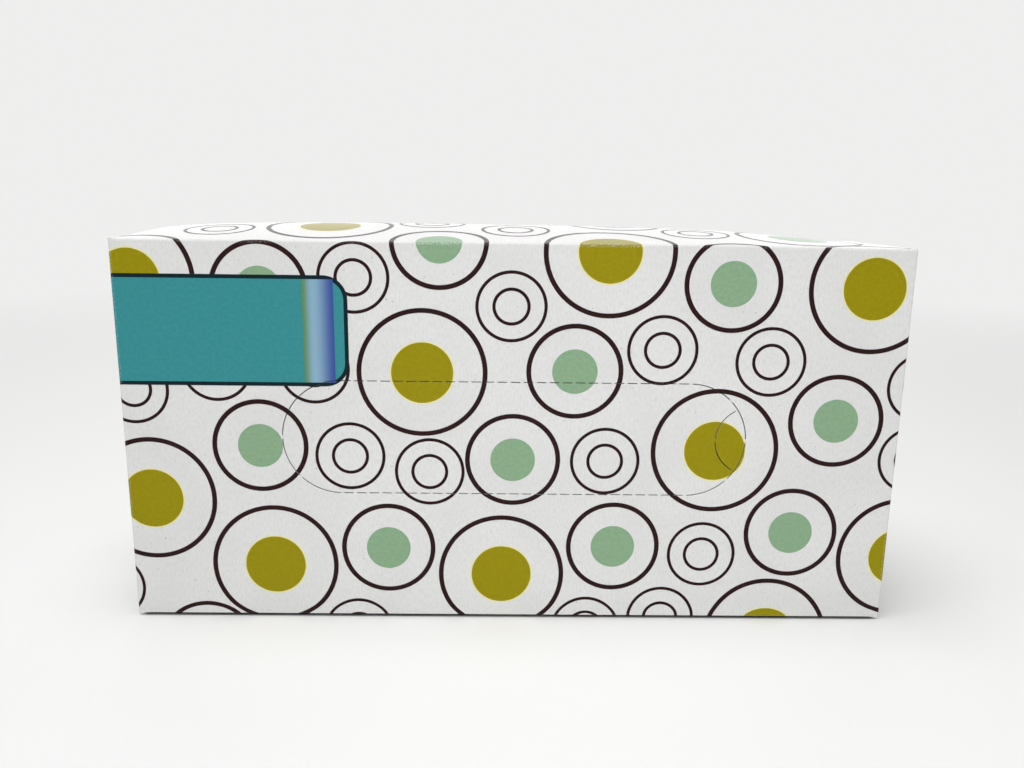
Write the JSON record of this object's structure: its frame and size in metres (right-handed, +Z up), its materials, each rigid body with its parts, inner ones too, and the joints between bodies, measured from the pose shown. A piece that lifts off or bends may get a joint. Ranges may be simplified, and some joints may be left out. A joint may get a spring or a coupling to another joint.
{
  "type": "tissue box",
  "caption": "Flat rectangular carton of paper tissues, sealed, standing on its long narrow side, with a perforated round-ended tear-out and thumb tab in its large front panel.",
  "frame": {"origin": "middle of the underside, which is the long narrow side that the box stands on", "axes": "+X along the box's length to the right as seen from the front, +Y from the front panel with the tear-out to the back panel, +Z up"},
  "size_m": [0.23, 0.048, 0.1187],
  "materials": {
    "printed_board": "white-lined board with a matt printed coating, lightly embossed"
  },
  "bodies": {
    "root": {"tissue_box": "printed_board"}
  },
  "joints": []
}
